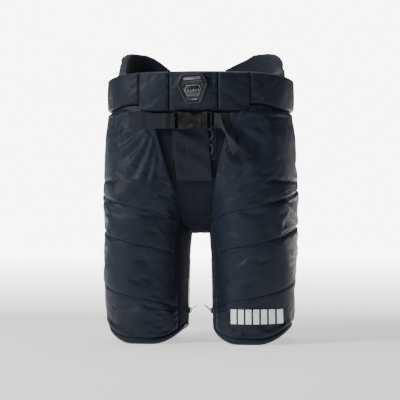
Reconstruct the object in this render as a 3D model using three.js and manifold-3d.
// Ice hockey pants: a padded nylon shell sewn from panels, with plastic guards, foam and a liner inside,
// a padded belt with kidney pads, a laced fly, a webbing strap with a side-release buckle, and a zip in
// each inner leg. Millimetres, +Z up, front towards -Y. Left and right are the wearer's, so left is +X.

import * as THREE from "three";
import { mergeVertices } from "three/addons/utils/BufferGeometryUtils.js";
import Module from "manifold-3d";

const wasm = await Module();
wasm.setup();

// ---- Driving dimensions -------------------------------------------------------------------------

const CROTCH = 222; // hem to crotch
const RISE = 240; // crotch to the belt's lower edge
const HIP_HALF_WIDTH = 196;
const HIP_FRONT = 120; // from the middle of the body to the front of the shell
const HIP_BACK = 126;
const LEG_GAP = 54; // between the two inner legs at the hems
const CROTCH_GAP = 39; // and just below the crotch
const SQUARENESS = 2.35; // exponent of every outline seen from above: 2 is an ellipse

const HEM_ARCH = 27; // how far the hem rises at the inner and outer leg
const HEM_BAND = 12;
const SHELL = 12; // nylon with its bonded foam
const GUARD = 3; // moulded plastic
const FOAM = 8;
const LINER = 2;
const LAYER_GAP = 1; // between one layer and the next
const POCKET = 2; // between the shell and a guard in its pocket
const SEAM_GAP = 0.6; // between neighbouring panels of one layer
const INSEAM_GAP = 2; // between a thigh panel and the inner leg panel

const BELT_HEIGHT = 79;
const BELT_HALF_WIDTH = 188;
const BELT_FRONT = 128;
const BELT_BACK = 124;
const BELT_PAD = 18;
const BELT_BULGE = 4;
const BELT_CENTRE_HALF = 49; // half the width of the middle panel
const BELT_FLAP_HALF = 112; // half the width of the three front panels together
const KIDNEY_PAD = 18;

const WEBBING = 30;
const WEBBING_THICK = 1.8;
const BUCKLE_CLEAR = 2; // from the belt's lower edge to the buckle's frames
const BUCKLE_LENGTH = 76;
const BUCKLE_THICK = 11;

const ZIP_LOW = 30;
const ZIP_HIGH = 170;
const ZIP_WIDTH = 6;
const ZIP_THICK = 2;
const ZIP_SLIDER_AT = 62;
const ZIP_PULL = 17;
const PULL_LIFT = 42; // degrees above level at which the pull stands at rest

const BELT_BOTTOM = CROTCH + RISE;
const BELT_TOP = BELT_BOTTOM + SEAM_GAP + BELT_HEIGHT;
const FRAME_HALF = WEBBING / 2 + 2; // half the height of the buckle's two strap frames
const STRAP_HEIGHT = BELT_BOTTOM - BUCKLE_CLEAR - FRAME_HALF;
const GUARD_IN = SHELL + POCKET;
const FOAM_IN = GUARD_IN + GUARD + LAYER_GAP;
const LINER_IN = FOAM_IN + FOAM + 3;

// ---- Colours ------------------------------------------------------------------------------------

const finish = (color, roughness, metalness = 0) =>
  new THREE.MeshStandardMaterial({ color, roughness, metalness });
const NYLON = finish(0x2b303b, 0.6);
const STRETCH = finish(0x141a26, 0.85);
const WEB = finish(0x1d212b, 0.7);
const ACETAL = finish(0x1b1a1a, 0.45);
const RUBBER = finish(0x0d0e11, 0.35);
const POLYETHYLENE = finish(0xd8d9da, 0.5);
const PAD_FOAM = finish(0x6d7076, 0.9);
const LINING = finish(0x10131a, 0.9);
const ZINC = finish(0x2a2a2b, 0.35, 0.8);

// ---- Curves through a few values ----------------------------------------------------------------

// A smooth curve through [height, value] pairs that never overshoots them.
function through(pairs) {
  const slope = pairs.slice(1).map((p, i) => (p[1] - pairs[i][1]) / (p[0] - pairs[i][0]));
  const tangent = pairs.map((p, i) => {
    if (i === 0 || i === pairs.length - 1) return i ? slope[i - 1] : slope[0];
    const [before, after] = [slope[i - 1], slope[i]];
    return before * after <= 0 ? 0 : (2 * before * after) / (before + after);
  });
  return (at) => {
    const last = pairs.length - 2;
    const found = pairs.findIndex((p, i) => i > last || at <= pairs[i + 1][0]);
    const i = Math.min(Math.max(found, 0), last);
    const span = pairs[i + 1][0] - pairs[i][0];
    const t = THREE.MathUtils.clamp((at - pairs[i][0]) / span, 0, 1);
    const [a, b] = [pairs[i][1], pairs[i + 1][1]];
    const [da, db] = [tangent[i] * span, tangent[i + 1] * span];
    return (
      a * (1 + 2 * t) * (1 - t) ** 2 + da * t * (1 - t) ** 2 + b * t * t * (3 - 2 * t) + db * t * t * (t - 1)
    );
  };
}

const rise = (share) => CROTCH + share * RISE;
const INNER = LEG_GAP / 2;
const CROTCH_HALF = CROTCH_GAP / 2;
const NARROWING = INNER - CROTCH_HALF;

const outerAt = through([
  [0, HIP_HALF_WIDTH - 13],
  [CROTCH * 0.32, HIP_HALF_WIDTH - 7],
  [CROTCH * 0.68, HIP_HALF_WIDTH - 2],
  [CROTCH, HIP_HALF_WIDTH],
  [rise(0.28), HIP_HALF_WIDTH],
  [rise(0.44), HIP_HALF_WIDTH - 3],
  [rise(0.72), HIP_HALF_WIDTH - 6],
  [rise(1), HIP_HALF_WIDTH - 10],
]);
const innerAt = through([
  [0, INNER],
  [CROTCH * 0.2, INNER],
  [CROTCH * 0.5, INNER - 0.15 * NARROWING],
  [CROTCH * 0.8, INNER - 0.6 * NARROWING],
  [CROTCH, CROTCH_HALF],
  [rise(0.11), CROTCH_HALF],
  [rise(0.28), CROTCH_HALF - 9],
  [rise(0.44), CROTCH_HALF - 28],
  [rise(0.72), CROTCH_HALF - 54],
  [rise(1), CROTCH_HALF - 77],
]);
const frontAt = through([
  [0, HIP_FRONT - 18],
  [CROTCH * 0.32, HIP_FRONT - 13],
  [CROTCH, HIP_FRONT - 5],
  [rise(0.44), HIP_FRONT - 1],
  [rise(1), HIP_FRONT],
]);
const backAt = through([
  [0, HIP_BACK - 24],
  [CROTCH, HIP_BACK - 9],
  [rise(0.44), HIP_BACK],
  [rise(1), HIP_BACK - 7],
]);

// Half width of the opening between the two front thigh panels, where the fly and the gusset show.
const flyHalfAt = through([
  [0, INNER + 10],
  [CROTCH * 0.4, INNER + 11],
  [CROTCH * 0.76, INNER + 15],
  [CROTCH, CROTCH_HALF + 16],
  [rise(0.14), CROTCH_HALF + 11],
  [rise(0.28), CROTCH_HALF + 13],
  [rise(0.55), CROTCH_HALF + 28],
  [rise(0.85), CROTCH_HALF + 46],
  [rise(1), CROTCH_HALF + 54],
]);
// Half width of the opening between the two seat panels, which closes above the gusset.
const seatHalfAt = through([
  [0, CROTCH_HALF],
  [rise(0.11), CROTCH_HALF],
  [rise(0.3), CROTCH_HALF - 2],
  [rise(0.42), SEAM_GAP / 2],
  [rise(1), SEAM_GAP / 2],
]);

// ---- The form that everything follows -----------------------------------------------------------

const DEG = Math.PI / 180;
const bend = (value) => Math.sign(value) * Math.abs(value) ** (2 / SQUARENESS);

// A point on one leg's outline. side is 1 for the left leg and -1 for the right one. The angle turns
// about the leg's own middle: 0 faces the other leg, 90 the front, 180 the outside and 270 the back.
function legPoint(side, degrees, z, inset) {
  const middle = (outerAt(z) + innerAt(z)) / 2;
  const halfWidth = (outerAt(z) - innerAt(z)) / 2 - inset;
  const halfDepth = (frontAt(z) + backAt(z)) / 2 - inset;
  const x = middle - halfWidth * bend(Math.cos(degrees * DEG));
  const y = (backAt(z) - frontAt(z)) / 2 - halfDepth * bend(Math.sin(degrees * DEG));
  return new THREE.Vector3(side * x, y, z);
}

// The angle at which the front of the outline is a distance x from the centre plane.
function angleAt(x, z) {
  const middle = (outerAt(z) + innerAt(z)) / 2;
  const halfWidth = (outerAt(z) - innerAt(z)) / 2;
  const share = THREE.MathUtils.clamp((middle - x) / halfWidth, -1, 1);
  return Math.acos(Math.sign(share) * Math.abs(share) ** (SQUARENESS / 2)) / DEG;
}

// A point on an outline round the waist, given its half width and its depths in front and behind. The
// angle turns from the front, 0, over the side, 90, to the back, 180.
function waistPoint(side, degrees, z, halfWidth, front, back) {
  const depth = Math.abs(degrees) < 90 ? front : back;
  const x = halfWidth * bend(Math.sin(degrees * DEG));
  return new THREE.Vector3(side * x, -depth * bend(Math.cos(degrees * DEG)), z);
}
const beltPoint = (side, degrees, z, inset) =>
  waistPoint(side, degrees, z, BELT_HALF_WIDTH - inset, BELT_FRONT - inset, BELT_BACK - inset);
const beltAngleAt = (x) => Math.asin((x / BELT_HALF_WIDTH) ** (SQUARENESS / 2)) / DEG;

// ---- Closed solids ------------------------------------------------------------------------------

function meshOf(name, geometry, material) {
  const mesh = new THREE.Mesh(geometry, material);
  mesh.name = name;
  return mesh;
}

// A sheet with thickness: two grids of points, one for each face, joined round their edges, or, if the
// sheet closes on itself across u, round its two open ends.
function sheet(across, along, outer, inner, loops = false) {
  const columns = loops ? across : across + 1;
  const rows = along + 1;
  const points = [];
  for (const face of [outer, inner])
    for (let j = 0; j < rows; j++)
      for (let i = 0; i < columns; i++) points.push(face(i / across, j / along));
  const at = (face, i, j) => face * columns * rows + j * columns + (i % columns);
  const index = [];
  const quad = (a, b, c, d) => index.push(a, b, c, a, c, d);
  for (let j = 0; j < along; j++)
    for (let i = 0; i < across; i++) {
      quad(at(0, i, j), at(0, i + 1, j), at(0, i + 1, j + 1), at(0, i, j + 1));
      quad(at(1, i, j), at(1, i, j + 1), at(1, i + 1, j + 1), at(1, i + 1, j));
    }
  for (let i = 0; i < across; i++) {
    quad(at(0, i + 1, 0), at(0, i, 0), at(1, i, 0), at(1, i + 1, 0));
    quad(at(0, i, along), at(0, i + 1, along), at(1, i + 1, along), at(1, i, along));
  }
  if (!loops)
    for (let j = 0; j < along; j++) {
      quad(at(0, 0, j), at(0, 0, j + 1), at(1, 0, j + 1), at(1, 0, j));
      quad(at(0, across, j + 1), at(0, across, j), at(1, across, j), at(1, across, j + 1));
    }
  return facingOut(points, index);
}

// Six times the volume that a triangle list encloses: negative if its faces point inwards.
function enclosed(points, index) {
  let sum = 0;
  for (let i = 0; i < index.length; i += 3) {
    const [a, b, c] = [points[index[i]], points[index[i + 1]], points[index[i + 2]]];
    sum += a.dot(b.clone().cross(c));
  }
  return sum;
}

function facingOut(points, index) {
  const ordered = enclosed(points, index) < 0 ? index.slice().reverse() : index;
  const geometry = new THREE.BufferGeometry().setFromPoints(points);
  return geometry.setIndex(ordered);
}

function solidOf(geometry) {
  const plain = geometry.clone();
  plain.deleteAttribute("normal");
  plain.deleteAttribute("uv");
  const merged = mergeVertices(plain, 1e-4);
  return new wasm.Manifold(
    new wasm.Mesh({
      numProp: 3,
      vertProperties: new Float32Array(merged.attributes.position.array),
      triVerts: new Uint32Array(merged.index.array),
    }),
  );
}

function geometryOf(solid) {
  const made = solid.getMesh();
  return new THREE.BufferGeometry()
    .setAttribute("position", new THREE.BufferAttribute(new Float32Array(made.vertProperties), 3))
    .setIndex(new THREE.BufferAttribute(new Uint32Array(made.triVerts), 1));
}

// A flat outline in X and Z, given depth along Y about the middle.
function plate(outline, depth) {
  const geometry = new THREE.ExtrudeGeometry(outline, { depth, bevelEnabled: false, curveSegments: 4 });
  return geometry.rotateX(Math.PI / 2).translate(0, depth / 2, 0);
}

function box(x0, x1, halfY, z0, z1) {
  return new THREE.BoxGeometry(x1 - x0, 2 * halfY, z1 - z0).translate((x0 + x1) / 2, 0, (z0 + z1) / 2);
}

function roundedRectangle(x0, x1, z0, z1, radius) {
  const shape = new THREE.Shape();
  shape.moveTo(x0 + radius, z0);
  shape.lineTo(x1 - radius, z0);
  shape.absarc(x1 - radius, z0 + radius, radius, -Math.PI / 2, 0);
  shape.lineTo(x1, z1 - radius);
  shape.absarc(x1 - radius, z1 - radius, radius, 0, Math.PI / 2);
  shape.lineTo(x0 + radius, z1);
  shape.absarc(x0 + radius, z1 - radius, radius, Math.PI / 2, Math.PI);
  shape.lineTo(x0, z0 + radius);
  shape.absarc(x0 + radius, z0 + radius, radius, Math.PI, 1.5 * Math.PI);
  return shape;
}

// ---- Legs and seat ------------------------------------------------------------------------------

const SIDE_SEAM = 195;
const BACK_SEAM = 300;
const SEAM_TURN = SEAM_GAP / 2 / 90 / DEG; // half a seam gap as an angle about the leg
const FOOT_TURN = 12; // the hem is level over this much of the front and of the back

// All layers on a leg share the same columns, so that one layer's facets never cut another's. Counted
// from 0 at the fly's edge, column 12 is the side seam, 13 is a little behind it, and 21 the last one.
const SIDE_COLUMN = 12;
const LAST_COLUMN = 21;
const FIRST_BACK = 15;

function columnAngle(column, z, last) {
  const share = (from, to) => (column - from) / (to - from);
  const edge = frontEdge(z);
  if (column <= SIDE_COLUMN) return edge + (SIDE_SEAM - SEAM_TURN - edge) * share(0, SIDE_COLUMN);
  const first = SIDE_SEAM + FIRST_BACK;
  if (column <= SIDE_COLUMN + 1) return SIDE_SEAM + FIRST_BACK * share(SIDE_COLUMN, SIDE_COLUMN + 1);
  return first + (last(z) - first) * share(SIDE_COLUMN + 1, LAST_COLUMN);
}

// A layer between two columns, with heights given by the share of the way from the first to the last.
function layerOnLeg(side, spec) {
  const { first, last, bottom, top, along, inset, thick, backEdge = backSeam } = spec;
  const point = (depth) => (u, v) => {
    const column = first + (last - first) * u;
    const z = bottom(u) + (top(u) - bottom(u)) * v;
    const angle = columnAngle(column, z, backEdge) + (column === SIDE_COLUMN && u === 0 ? SEAM_TURN : 0);
    return legPoint(side, angle, z, depth);
  };
  return sheet(last - first, along, point(inset), point(inset + thick));
}

// The hem's height round a leg: lowest and level at the front and the back.
function hemAt(degrees) {
  const fromFoot = Math.abs(Math.abs(((degrees + 360) % 180) - 90));
  const share = Math.max(0, fromFoot - FOOT_TURN) / (90 - FOOT_TURN);
  return HEM_ARCH * share * share * (3 - 2 * share);
}

const frontEdge = (z) => angleAt(flyHalfAt(z), z) + SEAM_TURN;
const backSeam = () => BACK_SEAM - SEAM_TURN;
const aboveHem = (degrees) => hemAt(degrees) + HEM_BAND + SEAM_GAP;
const shellTop = () => BELT_BOTTOM;

// The three slanted seams of a front panel, each by its height at the fly and at the side seam.
const slant = (atFly, atSide) => (u) => atFly + (atSide - atFly) * u;
const FRONT_SEAMS = [
  shellTop,
  slant(rise(0.1), rise(0.37)),
  slant(CROTCH - 42, rise(0.055)),
  slant(CROTCH - 150, CROTCH - 90),
];
const FRONT_NAMES = ["upper_thigh_panel", "middle_thigh_panel", "lower_thigh_panel", "cuff_panel"];

function thighPanels(side, prefix) {
  const hem = (u) => aboveHem(frontEdge(0) + (SIDE_SEAM - frontEdge(0)) * u);
  return FRONT_NAMES.map((name, k) => {
    const bottom = FRONT_SEAMS[k + 1] ?? hem;
    const geometry = layerOnLeg(side, {
      first: 0,
      last: SIDE_COLUMN,
      bottom: (u) => bottom(u) + (FRONT_SEAMS[k + 1] ? SEAM_GAP / 2 : 0),
      top: (u) => FRONT_SEAMS[k](u) - (k ? SEAM_GAP / 2 : 0),
      inset: 0,
      thick: SHELL,
      along: k ? 4 : 9,
    });
    return meshOf(`${prefix}_${name}`, geometry, NYLON);
  });
}

const SEAT_SEAM = rise(0.14);
const seatEdge = (z) => 360 - angleAt(seatHalfAt(z), z) - SEAM_TURN;

function backPanels(side, prefix) {
  const behind = { first: SIDE_COLUMN, last: LAST_COLUMN, inset: 0, thick: SHELL };
  const seat = layerOnLeg(side, {
    ...behind,
    bottom: () => SEAT_SEAM + SEAM_GAP / 2,
    top: shellTop,
    along: 7,
    backEdge: seatEdge,
  });
  const leg = layerOnLeg(side, {
    ...behind,
    bottom: (u) => aboveHem(SIDE_SEAM + (BACK_SEAM - SIDE_SEAM) * u),
    top: () => SEAT_SEAM - SEAM_GAP / 2,
    along: 6,
  });
  return [
    meshOf(`${prefix}_seat_panel`, seat, NYLON),
    meshOf(`${prefix}_back_leg_panel`, leg, NYLON),
  ];
}

const INNER_LEG = SHELL / 2; // the inner leg has thinner padding than the shell

function innerLegPanel(side, prefix) {
  const from = BACK_SEAM + SEAM_TURN;
  const face = (inset) => (u, v) => {
    const low = aboveHem(from + (360 + frontEdge(0) - from) * u);
    const z = low + (rise(0.1) - low) * v;
    const to = 360 + frontEdge(z) - INSEAM_GAP / HIP_FRONT / DEG;
    return legPoint(side, from + (to - from) * u, z, inset);
  };
  const geometry = sheet(8, 9, face(0), face(INNER_LEG));
  return meshOf(`${prefix}_inner_leg_panel`, geometry, STRETCH);
}

function hemBand(side, prefix) {
  const band = (inset) => (u, v) => {
    const low = hemAt(360 * u);
    return legPoint(side, 360 * u, low + HEM_BAND * v, inset);
  };
  return meshOf(`${prefix}_hem_band`, sheet(30, 1, band(0), band(SHELL), true), NYLON);
}

// ---- Guards, foam and liner inside --------------------------------------------------------------

function innerLayers(side, prefix) {
  const layer = (name, spec, material) =>
    meshOf(`${prefix}_${name}`, layerOnLeg(side, { backEdge: seatEdge, ...spec }), material);
  const thigh = {
    first: 3,
    last: SIDE_COLUMN + 1,
    bottom: () => HEM_ARCH + HEM_BAND + 6,
    top: (u) => rise(0.3) + 40 * u,
    along: 10,
  };
  const hip = {
    first: 4,
    last: SIDE_COLUMN + 4,
    bottom: () => rise(0.64),
    top: () => BELT_BOTTOM - 8,
    along: 4,
  };
  return [
    layer("thigh_guard", { ...thigh, inset: GUARD_IN, thick: GUARD }, POLYETHYLENE),
    layer("thigh_foam", { ...thigh, inset: FOAM_IN, thick: FOAM }, PAD_FOAM),
    layer("hip_guard", { ...hip, inset: GUARD_IN, thick: GUARD }, POLYETHYLENE),
    layer("hip_foam", { ...hip, inset: FOAM_IN, thick: FOAM }, PAD_FOAM),
  ];
}

function legLiner(side, prefix) {
  const low = HEM_ARCH + HEM_BAND;
  const face = (inset) => (u, v) => legPoint(side, 360 * u, low + (CROTCH + 6 - low) * v, inset);
  const geometry = sheet(20, 5, face(LINER_IN), face(LINER_IN + LINER), true);
  return meshOf(`${prefix}_leg_liner`, geometry, LINING);
}

const WAIST_LINER_LOW = rise(0.5);
const TAIL_PAD_HALF = 52;
const TAIL_PAD_BOW = 6;
const TAIL_PAD_LIFT = 2; // from the seam between the seat panels to the pad

// How far back the inside of the shell reaches at the seam between the two seat panels.
const seatSeamAt = (z) => legPoint(1, seatEdge(z), z, SHELL).y;
const WAIST_LINER = {
  halfWidth: BELT_HALF_WIDTH - 44,
  front: BELT_FRONT - 44,
  back: seatSeamAt(WAIST_LINER_LOW) - TAIL_PAD_LIFT - FOAM - TAIL_PAD_BOW,
};

function waistLiner() {
  const face = (inset) => (u, v) => {
    const degrees = 360 * u - 180;
    const z = WAIST_LINER_LOW + (BELT_BOTTOM - 6 - WAIST_LINER_LOW) * v;
    const { halfWidth, front, back } = WAIST_LINER;
    const side = Math.sign(degrees) || 1;
    return waistPoint(side, Math.abs(degrees), z, halfWidth - inset, front - inset, back - inset);
  };
  return meshOf("waist_liner", sheet(32, 3, face(0), face(LINER), true), LINING);
}

// The pad in front of the seam between the two seat panels, bowed a little round the body.
function tailbonePad() {
  const face = (lift) => (u, v) => {
    const z = rise(0.5) + (BELT_BOTTOM - 10 - rise(0.5)) * v;
    const y = seatSeamAt(z) - lift - TAIL_PAD_BOW * (2 * u - 1) ** 2;
    return new THREE.Vector3(TAIL_PAD_HALF * (2 * u - 1), y, z);
  };
  const back = face(TAIL_PAD_LIFT);
  return meshOf("tailbone_pad", sheet(8, 3, back, face(TAIL_PAD_LIFT + FOAM)), PAD_FOAM);
}

// ---- Gusset, fly and lace -----------------------------------------------------------------------

const GUSSET = 3;
// The gusset's middle line from under the belt, down the fly, under the crotch and up to the seat.
const GUSSET_LINE = new THREE.CatmullRomCurve3(
  [
    [HIP_FRONT - 12, rise(0.985)],
    [HIP_FRONT - 13, rise(0.75)],
    [HIP_FRONT - 16, rise(0.52)],
    [HIP_FRONT - 30, rise(0.29)],
    [HIP_FRONT - 58, rise(0.1)],
    [HIP_FRONT - 92, rise(0)],
    [0, rise(-0.012)],
    [-28, rise(0)],
    [-52, rise(0.09)],
    [-64, rise(0.2)],
    [-70, rise(0.3)],
  ].map(([front, z]) => new THREE.Vector3(0, -front, z)),
);

// Its half width: between the legs it fits between the inner panels, and above them it fills the fly.
const gussetBackAt = through([
  [rise(-0.1), CROTCH_HALF],
  [rise(0.1), CROTCH_HALF],
  [rise(0.3), CROTCH_HALF - 7],
]);
// Between the thigh panels it keeps clear of both the outer and the inner edge of the panel.
const clearFly = (z) => Math.min(...[0, SHELL].map((inset) => legPoint(1, frontEdge(z), z, inset).x));
function gussetFrontAt(z) {
  const widening = THREE.MathUtils.smoothstep(z, rise(0.11), rise(0.2));
  return CROTCH_HALF + (clearFly(z) - CROTCH_HALF) * widening;
}

function gussetPoint(u, v, lift) {
  const middle = GUSSET_LINE.getPoint(v);
  const tangent = GUSSET_LINE.getTangent(v);
  const width = (middle.y < 0 ? gussetFrontAt : gussetBackAt)(middle.z) - SEAM_GAP;
  return new THREE.Vector3((2 * u - 1) * width, middle.y + tangent.z * lift, middle.z - tangent.y * lift);
}

function crotchGusset() {
  const geometry = sheet(
    6,
    26,
    (u, v) => gussetPoint(u, v, 0),
    (u, v) => gussetPoint(u, v, -GUSSET),
  );
  return meshOf("crotch_gusset", geometry, STRETCH);
}

// The share of the gusset's line at which it is at height z on the front.
function frontShare(z) {
  let [low, high] = [0, 0.5];
  for (let k = 0; k < 30; k++) {
    const middle = (low + high) / 2;
    if (GUSSET_LINE.getPoint(middle).z > z) low = middle;
    else high = middle;
  }
  return low;
}

// A strip that lies in front of the gusset, by its two edges, its height, its lift and its thickness.
function flyStrip(left, right, low, high, lift, thick, across = 4) {
  const face = (extra) => (u, v) => {
    const z = low + (high - low) * v;
    const back = GUSSET_LINE.getPoint(frontShare(z));
    return new THREE.Vector3(left(v) + (right(v) - left(v)) * u, back.y - lift - extra, z);
  };
  return sheet(across, 6, face(thick), face(0));
}

const FACING_IN = 29;
const FACING_OUT = 45;
const FACING_THICK = 2;
const LACE = 1.4; // radius
const LACE_LIFT = LAYER_GAP + FACING_THICK + LAYER_GAP + LACE;
const PLACKET_LIFT = LACE_LIFT + LACE + LAYER_GAP;
const LACE_TURNS = 5;

function fly() {
  const placket = flyStrip(
    (v) => -33 + 6 * v,
    (v) => 33 - 6 * v,
    rise(0.43),
    BELT_BOTTOM - 4,
    PLACKET_LIFT,
    2,
  );
  const facings = [
    ["left_fly_facing", 1],
    ["right_fly_facing", -1],
  ].map(([name, side]) => {
    const [near, far] = side > 0 ? [FACING_IN, FACING_OUT] : [-FACING_OUT, -FACING_IN];
    const edge = (x) => () => x;
    const strip = flyStrip(edge(near), edge(far), rise(0.6), rise(0.97), LAYER_GAP, FACING_THICK, 2);
    return meshOf(name, strip, NYLON);
  });
  return [meshOf("fly_placket", placket, NYLON), ...facings, flyLace()];
}

function flyLace() {
  const reach = (FACING_IN + FACING_OUT) / 2;
  const [low, high] = [rise(0.63), rise(0.93)];
  const points = [];
  for (let k = 0; k <= LACE_TURNS; k++) {
    const z = high - ((high - low) * k) / LACE_TURNS;
    const y = GUSSET_LINE.getPoint(frontShare(z)).y - LACE_LIFT;
    const side = k % 2 ? -1 : 1;
    points.push(new THREE.Vector3(side * reach, y, z + 3), new THREE.Vector3(side * reach, y, z - 3));
  }
  const section = new THREE.Shape().absarc(0, 0, LACE, 0, 2 * Math.PI);
  const geometry = new THREE.ExtrudeGeometry(section, {
    steps: 60,
    curveSegments: 4,
    extrudePath: new THREE.CatmullRomCurve3(points, false, "chordal"),
  });
  return meshOf("fly_lace", geometry, WEB);
}

// ---- Belt and kidney pads -----------------------------------------------------------------------

// The belt's upper edge, a little lower over the hips than at the front.
const beltTopAt = through([
  [0, BELT_TOP],
  [35, BELT_TOP - 1],
  [90, BELT_TOP - 9],
  [180, BELT_TOP - 6],
]);

function beltPiece(name, side, from, to, across) {
  const low = BELT_BOTTOM + SEAM_GAP;
  const face = (bulges) => (u, v) => {
    const degrees = from + (to - from) * u;
    const z = low + (beltTopAt(Math.abs(degrees)) - low) * v;
    const inset = bulges ? BELT_BULGE * (2 * v - 1) ** 2 : BELT_PAD;
    return beltPoint(side, degrees, z, inset);
  };
  return meshOf(name, sheet(across, 6, face(true), face(false)), NYLON);
}

const CENTRE_TURN = beltAngleAt(BELT_CENTRE_HALF);
const FLAP_TURN = beltAngleAt(BELT_FLAP_HALF);
const SPINE_HALF = 38;
const SPINE_TURN = 180 - beltAngleAt(SPINE_HALF);
const BELT_SEAM_TURN = SEAM_GAP / 2 / BELT_FRONT / DEG;

// Each kidney pad's upper edge above the belt's lower edge, by angle from the front.
const KIDNEY_EDGE = {
  left: [
    [48, 74],
    [70, 100],
    [92, 122],
    [128, 123],
    [148, 114],
    [168, 92],
  ],
  right: [
    [48, 74],
    [70, 100],
    [88, 121],
    [126, 120],
    [143, 102],
    [168, 84],
  ],
};
const KIDNEY_IN = BELT_PAD + LAYER_GAP;
const KIDNEY_LOW = 8; // the pad's lower edge above the belt's

function kidneyPad(side, prefix) {
  const edge = through(KIDNEY_EDGE[prefix]);
  const [from, to] = [KIDNEY_EDGE[prefix][0][0], KIDNEY_EDGE[prefix].at(-1)[0]];
  const face = (inset) => (u, v) => {
    const degrees = from + (to - from) * u;
    const z = BELT_BOTTOM + KIDNEY_LOW + (edge(degrees) - KIDNEY_LOW) * v;
    return beltPoint(side, degrees, z, inset);
  };
  const geometry = sheet(16, 5, face(KIDNEY_IN), face(KIDNEY_IN + KIDNEY_PAD));
  return meshOf(`${prefix}_kidney_pad`, geometry, NYLON);
}

function spinePad() {
  const low = BELT_BOTTOM + KIDNEY_LOW;
  const face = (inset) => (u, v) => {
    const degrees = 168.6 + 22.8 * u;
    const z = low + (BELT_HEIGHT - 2) * v;
    return beltPoint(degrees > 180 ? -1 : 1, degrees > 180 ? 360 - degrees : degrees, z, inset);
  };
  return meshOf("spine_pad", sheet(6, 4, face(KIDNEY_IN), face(KIDNEY_IN + KIDNEY_PAD)), NYLON);
}

const BADGE_THICK = 2.4;

function badge() {
  const shape = new THREE.Shape();
  shape.moveTo(-16, -29);
  shape.lineTo(16, -29);
  shape.lineTo(29, 9);
  shape.lineTo(21, 29);
  shape.lineTo(-21, 29);
  shape.lineTo(-29, 9);
  const y = -BELT_FRONT - BADGE_THICK / 2 - LAYER_GAP;
  const z = BELT_BOTTOM + BELT_HEIGHT * 0.56;
  const mesh = meshOf("belt_badge", plate(shape, BADGE_THICK), RUBBER);
  mesh.position.set(0, y, z);
  mesh.rotation.y = -4 * DEG;
  return mesh;
}

function belt() {
  const pieces = [
    beltPiece("belt_centre_panel", 1, -CENTRE_TURN + BELT_SEAM_TURN, CENTRE_TURN - BELT_SEAM_TURN, 6),
    badge(),
    spinePad(),
  ];
  for (const [prefix, side] of [
    ["left", 1],
    ["right", -1],
  ]) {
    const front = [CENTRE_TURN + BELT_SEAM_TURN, FLAP_TURN - BELT_SEAM_TURN];
    const hip = [FLAP_TURN + BELT_SEAM_TURN, 180 - BELT_SEAM_TURN];
    pieces.push(
      beltPiece(`${prefix}_belt_front_pad`, side, ...front, 4),
      beltPiece(`${prefix}_belt_side_pad`, side, ...hip, 18),
      kidneyPad(side, prefix),
    );
  }
  return pieces;
}

// ---- Buckle and strap ---------------------------------------------------------------------------

const BUCKLE_HALF = BUCKLE_LENGTH / 2;
const BODY_HALF = FRAME_HALF - 1.5;
const END_BAR = 3;
const SLOT = 6; // width of each webbing slot
const BRIDGE = 9.5; // plate between the slot and the body
const SPLIT = 17; // where the receiver's mouth meets the tongue
const THROAT_HALF = 12;
const THROAT_THICK = 6;
const PARTING = 1; // clearance between the mouth and the tongue's shoulder
const ARM_THICK = 3.2;
const ARM_OUT = THROAT_HALF - 0.4;
const ARM_TIP = -16;
const ARM_PIVOT = SPLIT - 1;
const BARB = 1.2; // how far each barb stands past the throat
const BUCKLE_Y = -(HIP_FRONT + 9);

const slotHole = (x0, x1) =>
  new THREE.Path(roundedRectangle(x0, x1, -WEBBING / 2 - 0.6, WEBBING / 2 + 0.6, 1).getPoints(3));

function receiver() {
  const body = new THREE.Shape();
  body.moveTo(-BUCKLE_HALF + 3, -FRAME_HALF);
  body.lineTo(-BUCKLE_HALF + END_BAR + SLOT + BRIDGE, -FRAME_HALF);
  body.lineTo(-6, -BODY_HALF);
  body.lineTo(-1, -BODY_HALF);
  body.lineTo(3, -10);
  body.lineTo(SPLIT, -BODY_HALF + 0.5);
  body.lineTo(SPLIT, BODY_HALF);
  body.lineTo(3, 9);
  body.lineTo(-5, BODY_HALF);
  body.lineTo(-BUCKLE_HALF + END_BAR + SLOT + BRIDGE, FRAME_HALF);
  body.lineTo(-BUCKLE_HALF + 3, FRAME_HALF);
  body.quadraticCurveTo(-BUCKLE_HALF, FRAME_HALF, -BUCKLE_HALF, FRAME_HALF - 3);
  body.lineTo(-BUCKLE_HALF, -FRAME_HALF + 3);
  body.quadraticCurveTo(-BUCKLE_HALF, -FRAME_HALF, -BUCKLE_HALF + 3, -FRAME_HALF);
  body.holes.push(slotHole(-BUCKLE_HALF + END_BAR, -BUCKLE_HALF + END_BAR + SLOT));
  const socket = box(ARM_TIP - 2, SPLIT + 1, THROAT_THICK / 2, -THROAT_HALF, THROAT_HALF);
  const windows = box(ARM_TIP - 1, ARM_TIP + 11, THROAT_THICK / 2, -FRAME_HALF - 1, FRAME_HALF + 1);
  const solid = solidOf(plate(body, BUCKLE_THICK)).subtract(solidOf(socket)).subtract(solidOf(windows));
  return meshOf("buckle_receiver", geometryOf(solid), ACETAL);
}

function tongue() {
  const start = SPLIT + PARTING;
  const body = roundedRectangle(start, BUCKLE_HALF, -FRAME_HALF, FRAME_HALF, 2.5);
  body.holes.push(slotHole(BUCKLE_HALF - END_BAR - SLOT, BUCKLE_HALF - END_BAR));
  const guide = box(start - 12, start + 1, THROAT_THICK / 2 - 0.5, -2, 2);
  const solid = solidOf(plate(body, BUCKLE_THICK)).add(solidOf(guide));
  return meshOf("buckle_tongue", geometryOf(solid), ACETAL);
}

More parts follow.
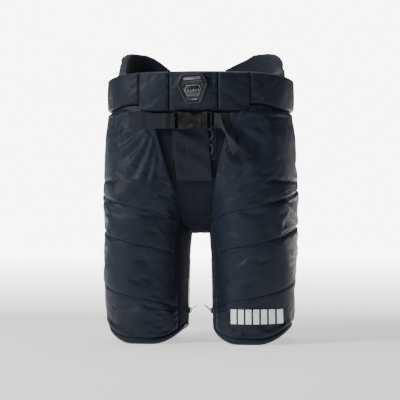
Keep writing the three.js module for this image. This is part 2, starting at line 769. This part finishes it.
// One of the two springy arms, with the barb that catches behind the receiver's side wall.
function latchArm(name, up) {
  const inner = ARM_OUT - ARM_THICK;
  const shape = new THREE.Shape();
  shape.moveTo(ARM_PIVOT + 1, inner);
  shape.lineTo(ARM_TIP, inner);
  shape.lineTo(ARM_TIP, ARM_OUT - 1);
  shape.lineTo(ARM_TIP + 2, THROAT_HALF + BARB);
  shape.lineTo(ARM_TIP + 4, THROAT_HALF + BARB);
  shape.lineTo(ARM_TIP + 4.4, ARM_OUT);
  shape.lineTo(ARM_PIVOT + 1, ARM_OUT);
  const solid = solidOf(plate(shape, THROAT_THICK - 1));
  return meshOf(name, geometryOf(up > 0 ? solid : solid.mirror([0, 0, 1])), ACETAL);
}

function buckle() {
  const group = new THREE.Group();
  group.add(receiver(), tongue(), latchArm("upper_latch_arm", 1), latchArm("lower_latch_arm", -1));
  group.position.set(0, BUCKLE_Y, STRAP_HEIGHT);
  return group;
}

// Webbing along a path of [x, y] points, all at the strap's height, on the left side or the right one.
function webbing(name, side, points) {
  const path = new THREE.CatmullRomCurve3(
    points.map(([x, y]) => new THREE.Vector3(side * x, y, STRAP_HEIGHT)),
    false,
    "centripetal",
  );
  const face = (lift) => (u, v) => {
    const middle = path.getPointAt(v);
    const tangent = path.getTangentAt(v);
    const z = middle.z + (2 * u - 1) * (WEBBING / 2);
    return new THREE.Vector3(middle.x + tangent.y * lift, middle.y - tangent.x * lift, z);
  };
  const half = WEBBING_THICK / 2;
  return meshOf(name, sheet(1, 3 * points.length, face(half), face(-half)), WEB);
}

// How far forward the webbing lies where it rests on the shell.
const onShell = (x) => legPoint(1, angleAt(x, STRAP_HEIGHT), STRAP_HEIGHT, 0).y - WEBBING_THICK / 2 - 1.2;

const BUCKLE_BACK = BUCKLE_Y + BUCKLE_THICK / 2 + WEBBING_THICK / 2 + LAYER_GAP;
const BUCKLE_FRONT = BUCKLE_Y - BUCKLE_THICK / 2 - WEBBING_THICK / 2 - LAYER_GAP;
const STRAP_END = 96; // where each strap is sewn down

function straps() {
  const slotMiddle = BUCKLE_HALF - END_BAR - SLOT / 2;
  // From the sewn end over the shell, under the end bar and up into the slot.
  const up = [
    [STRAP_END, onShell(STRAP_END)],
    [80, onShell(80)],
    [62, onShell(62) - 0.6],
    [BUCKLE_HALF + 8, BUCKLE_BACK],
    [BUCKLE_HALF - 3.5, BUCKLE_BACK],
    [slotMiddle + 0.2, BUCKLE_Y + 4.5],
    [slotMiddle - 0.3, BUCKLE_Y],
  ];
  // The receiver's strap goes on over the end bar and lies back on itself.
  const over = [
    [slotMiddle + 0.2, BUCKLE_Y - 4.5],
    [BUCKLE_HALF - 3.5, BUCKLE_FRONT],
    [BUCKLE_HALF + 1, BUCKLE_FRONT + 0.8],
    [BUCKLE_HALF + 7, BUCKLE_Y],
    [BUCKLE_HALF + 12, BUCKLE_BACK - WEBBING_THICK - LAYER_GAP],
    [62, onShell(62) - 1 - WEBBING_THICK - LAYER_GAP],
  ];
  return [
    webbing("tongue_strap", 1, up),
    webbing("receiver_strap", -1, [...up, ...over]),
    strapPatch("left", 1),
    strapPatch("right", -1),
    strapTail(),
  ];
}

const PATCH_LENGTH = 36;

// The stitched patch that covers a strap's sewn end, lying against the shell.
function strapPatch(prefix, side) {
  const from = STRAP_END + SEAM_GAP;
  const half = WEBBING / 2 + 1;
  const face = (lift) => (u, v) => {
    const x = from + PATCH_LENGTH * u;
    const z = STRAP_HEIGHT + (2 * v - 1) * half;
    const surface = legPoint(side, angleAt(x, STRAP_HEIGHT), STRAP_HEIGHT, 0);
    return new THREE.Vector3(surface.x, surface.y - 1.2 - lift, z);
  };
  return meshOf(`${prefix}_strap_patch`, sheet(6, 2, face(WEBBING_THICK), face(0)), WEB);
}

// The loose end comes forward over the end bar, turns edge on as it drops across the thigh, and ends in
// a folded tab. Each point has the webbing's turn about its own length in degrees.
const TAIL_PATH = [
  [BUCKLE_HALF - END_BAR - SLOT / 2 - 0.2, BUCKLE_Y - 2.6, 0, 0],
  [BUCKLE_HALF - 3.4, BUCKLE_FRONT - 0.2, 0, 0],
  [BUCKLE_HALF + 5, BUCKLE_FRONT - 1, -1, 0],
  [BUCKLE_HALF + 19, BUCKLE_FRONT - 5, -10, 38],
  [BUCKLE_HALF + 31, BUCKLE_FRONT - 9, -26, 58],
  [BUCKLE_HALF + 40, BUCKLE_FRONT - 8, -46, 40],
  [BUCKLE_HALF + 46, BUCKLE_FRONT - 6, -66, 20],
];

function strapTail() {
  const path = new THREE.CatmullRomCurve3(
    TAIL_PATH.map(([x, y, drop]) => new THREE.Vector3(x, y, STRAP_HEIGHT + drop)),
    false,
    "centripetal",
  );
  const turnAt = through(TAIL_PATH.map((p, i) => [i / (TAIL_PATH.length - 1), p[3]]));
  const narrowAt = through([
    [0, 1],
    [0.3, 1],
    [0.6, 0.72],
    [1, 0.72],
  ]);
  const face = (lift) => (u, v) => {
    const along = path.getTangent(v);
    const across = new THREE.Vector3(-along.z, 0, along.x).normalize();
    across.applyAxisAngle(along, turnAt(v) * DEG);
    const out = across.clone().cross(along).normalize();
    const half = (WEBBING / 2) * narrowAt(v);
    return path.getPoint(v).addScaledVector(across, (2 * u - 1) * half).addScaledVector(out, lift);
  };
  const half = WEBBING_THICK / 2;
  return meshOf("strap_tail", sheet(2, 20, face(half), face(-half)), WEB);
}

// ---- Inner leg zips -----------------------------------------------------------------------------

const ZIP_CLEAR = 0.4; // from the inner leg to the chain
const SLIDER_WALL = 1.6;
const SLIDER_HALF = 6;
const BRIDGE_HALF = 1.2;
const BRIDGE_RISE = 3.2;
const BRIDGE_UNDER = 2.1;
const PIN_LIFT = 1.1; // the pull's crosspiece above the slider's face
const PULL_HALF = 4;

// Everything on a zip is built on a leg whose surface is the plane x = 0, with the gap between the legs
// on the negative side, and then leaned to follow the inner leg.
function zip(prefix, side) {
  const length = ZIP_HIGH - ZIP_LOW;
  const chainGeometry = new THREE.BoxGeometry(ZIP_THICK, ZIP_WIDTH, length);
  chainGeometry.translate(-ZIP_CLEAR - ZIP_THICK / 2, 0, length / 2);
  const chain = meshOf(`${prefix}_zip_chain`, chainGeometry, ACETAL);

  // The slider is a channel over the chain, open towards the leg, with a bridge for the pull.
  const face = ZIP_CLEAR + ZIP_THICK + 0.5 + SLIDER_WALL;
  const cheek = ZIP_WIDTH / 2 + 0.5;
  const block = (depth, x, halfY, halfZ) =>
    solidOf(new THREE.BoxGeometry(depth, 2 * halfY, 2 * halfZ)).translate([x, 0, 0]);
  const body = block(face - 0.6, -(face + 0.6) / 2, cheek + SLIDER_WALL, SLIDER_HALF);
  const channel = block(2 * (face - SLIDER_WALL), 0, cheek, SLIDER_HALF + 1);
  const arch = block(BRIDGE_RISE, -face - BRIDGE_RISE / 2 + 0.01, BRIDGE_HALF, 4);
  const under = block(BRIDGE_UNDER, -face - BRIDGE_UNDER / 2, BRIDGE_HALF + 1, 2.8);
  const slider = meshOf(
    `${prefix}_zip_slider`,
    geometryOf(body.subtract(channel).add(arch.subtract(under))),
    ZINC,
  );
  slider.position.z = ZIP_SLIDER_AT - ZIP_LOW;

  // The pull is a tab whose crosspiece lies under the bridge.
  const outline = roundedRectangle(-0.65, ZIP_PULL, -PULL_HALF, PULL_HALF, 0.6);
  outline.holes.push(new THREE.Path(roundedRectangle(0.65, 6.4, -2.2, 2.2, 0.5).getPoints(2)));
  const pull = meshOf(`${prefix}_zip_pull`, plate(outline, 1.3).rotateX(Math.PI / 2), ZINC);
  pull.rotation.y = (180 + PULL_LIFT) * DEG;
  pull.position.set(-face - PIN_LIFT, 0, slider.position.z);

  const group = new THREE.Group();
  group.add(chain, slider, pull);
  group.position.set(innerAt(ZIP_LOW), 0, ZIP_LOW);
  group.rotation.y = Math.atan2(innerAt(ZIP_HIGH) - innerAt(ZIP_LOW), length);
  const whole = new THREE.Group();
  whole.add(group);
  whole.rotation.z = side > 0 ? 0 : Math.PI;
  return whole;
}

// ---- Assembly -----------------------------------------------------------------------------------

const pants = new THREE.Group();
for (const [prefix, side] of [
  ["left", 1],
  ["right", -1],
])
  pants.add(
    ...thighPanels(side, prefix),
    ...backPanels(side, prefix),
    innerLegPanel(side, prefix),
    hemBand(side, prefix),
    ...innerLayers(side, prefix),
    legLiner(side, prefix),
    zip(prefix, side),
  );
pants.add(crotchGusset(), ...fly(), waistLiner(), tailbonePad(), ...belt(), buckle(), ...straps());

// The origin is under the middle of the whole, on the level of the hems' feet.
const extent = new THREE.Box3().setFromObject(pants);
const middle = extent.getCenter(new THREE.Vector3());
pants.position.set(-middle.x, -middle.y, -extent.min.z);

const hockeyPants = new THREE.Group();
hockeyPants.add(pants);

export default hockeyPants;
